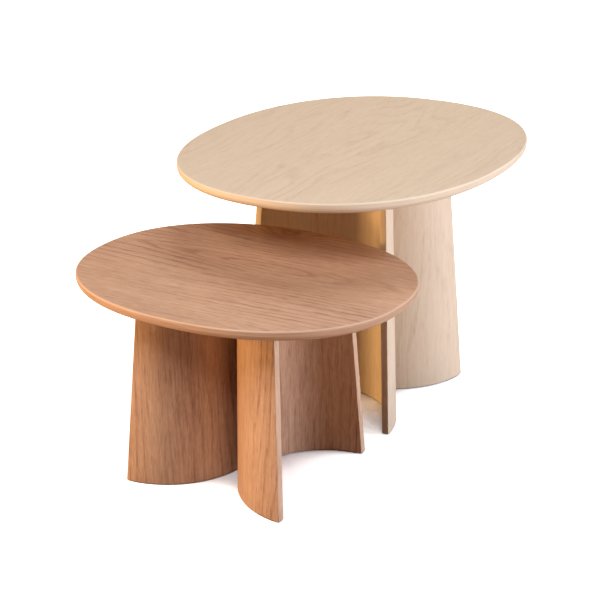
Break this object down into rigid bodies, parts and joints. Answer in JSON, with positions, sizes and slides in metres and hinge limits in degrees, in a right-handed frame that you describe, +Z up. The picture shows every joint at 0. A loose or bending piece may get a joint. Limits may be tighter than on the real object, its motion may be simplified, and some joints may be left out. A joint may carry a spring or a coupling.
{
  "type": "nesting tables",
  "caption": "Low oval nesting tables in oak; each top stands on back-to-back half-cone bentwood shells, and the lower table tucks under the taller one.",
  "frame": {"origin": "centre of the box round both tables, on the floor", "axes": "+Z up; the small table stands towards -Y of the large one and slides out along -Y; X runs across"},
  "size_m": [0.54, 0.9244, 0.45],
  "materials": {
    "large_oak": "clear matt oil on pale oak veneer",
    "small_oak": "red-brown matt oil on oak veneer",
    "birch_plywood": "bare sanded plywood",
    "beech": "bare turned beech",
    "zinc_steel": "zinc plated",
    "brass": "bare",
    "felt": "pressed felt"
  },
  "bodies": {
    "large_table": {"large_tabletop": "large_oak", "large_spine": "large_oak", "large_spine_dowels": "beech", "large_cleat_dowels": "beech", "large_threaded_inserts": "brass", "large_top_screws": "zinc_steel", "large_screw_washers": "zinc_steel", "large_felt_pads": "felt", "large_front_shell": "large_oak", "large_front_cleat": "birch_plywood", "large_back_shell": "large_oak", "large_back_cleat": "birch_plywood"},
    "small_table": {"small_tabletop": "small_oak", "small_spine": "small_oak", "small_spine_dowels": "beech", "small_cleat_dowels": "beech", "small_threaded_inserts": "brass", "small_top_screws": "zinc_steel", "small_screw_washers": "zinc_steel", "small_felt_pads": "felt", "small_left_shell": "small_oak", "small_left_cleat": "birch_plywood", "small_right_shell": "small_oak", "small_right_cleat": "birch_plywood"}
  },
  "joints": [
    {"name": "small_table_slide", "type": "slide", "parent": "large_table", "child": "small_table", "axis": [0, -1, 0], "range_m": [-0.024, 0.4]}
  ]
}
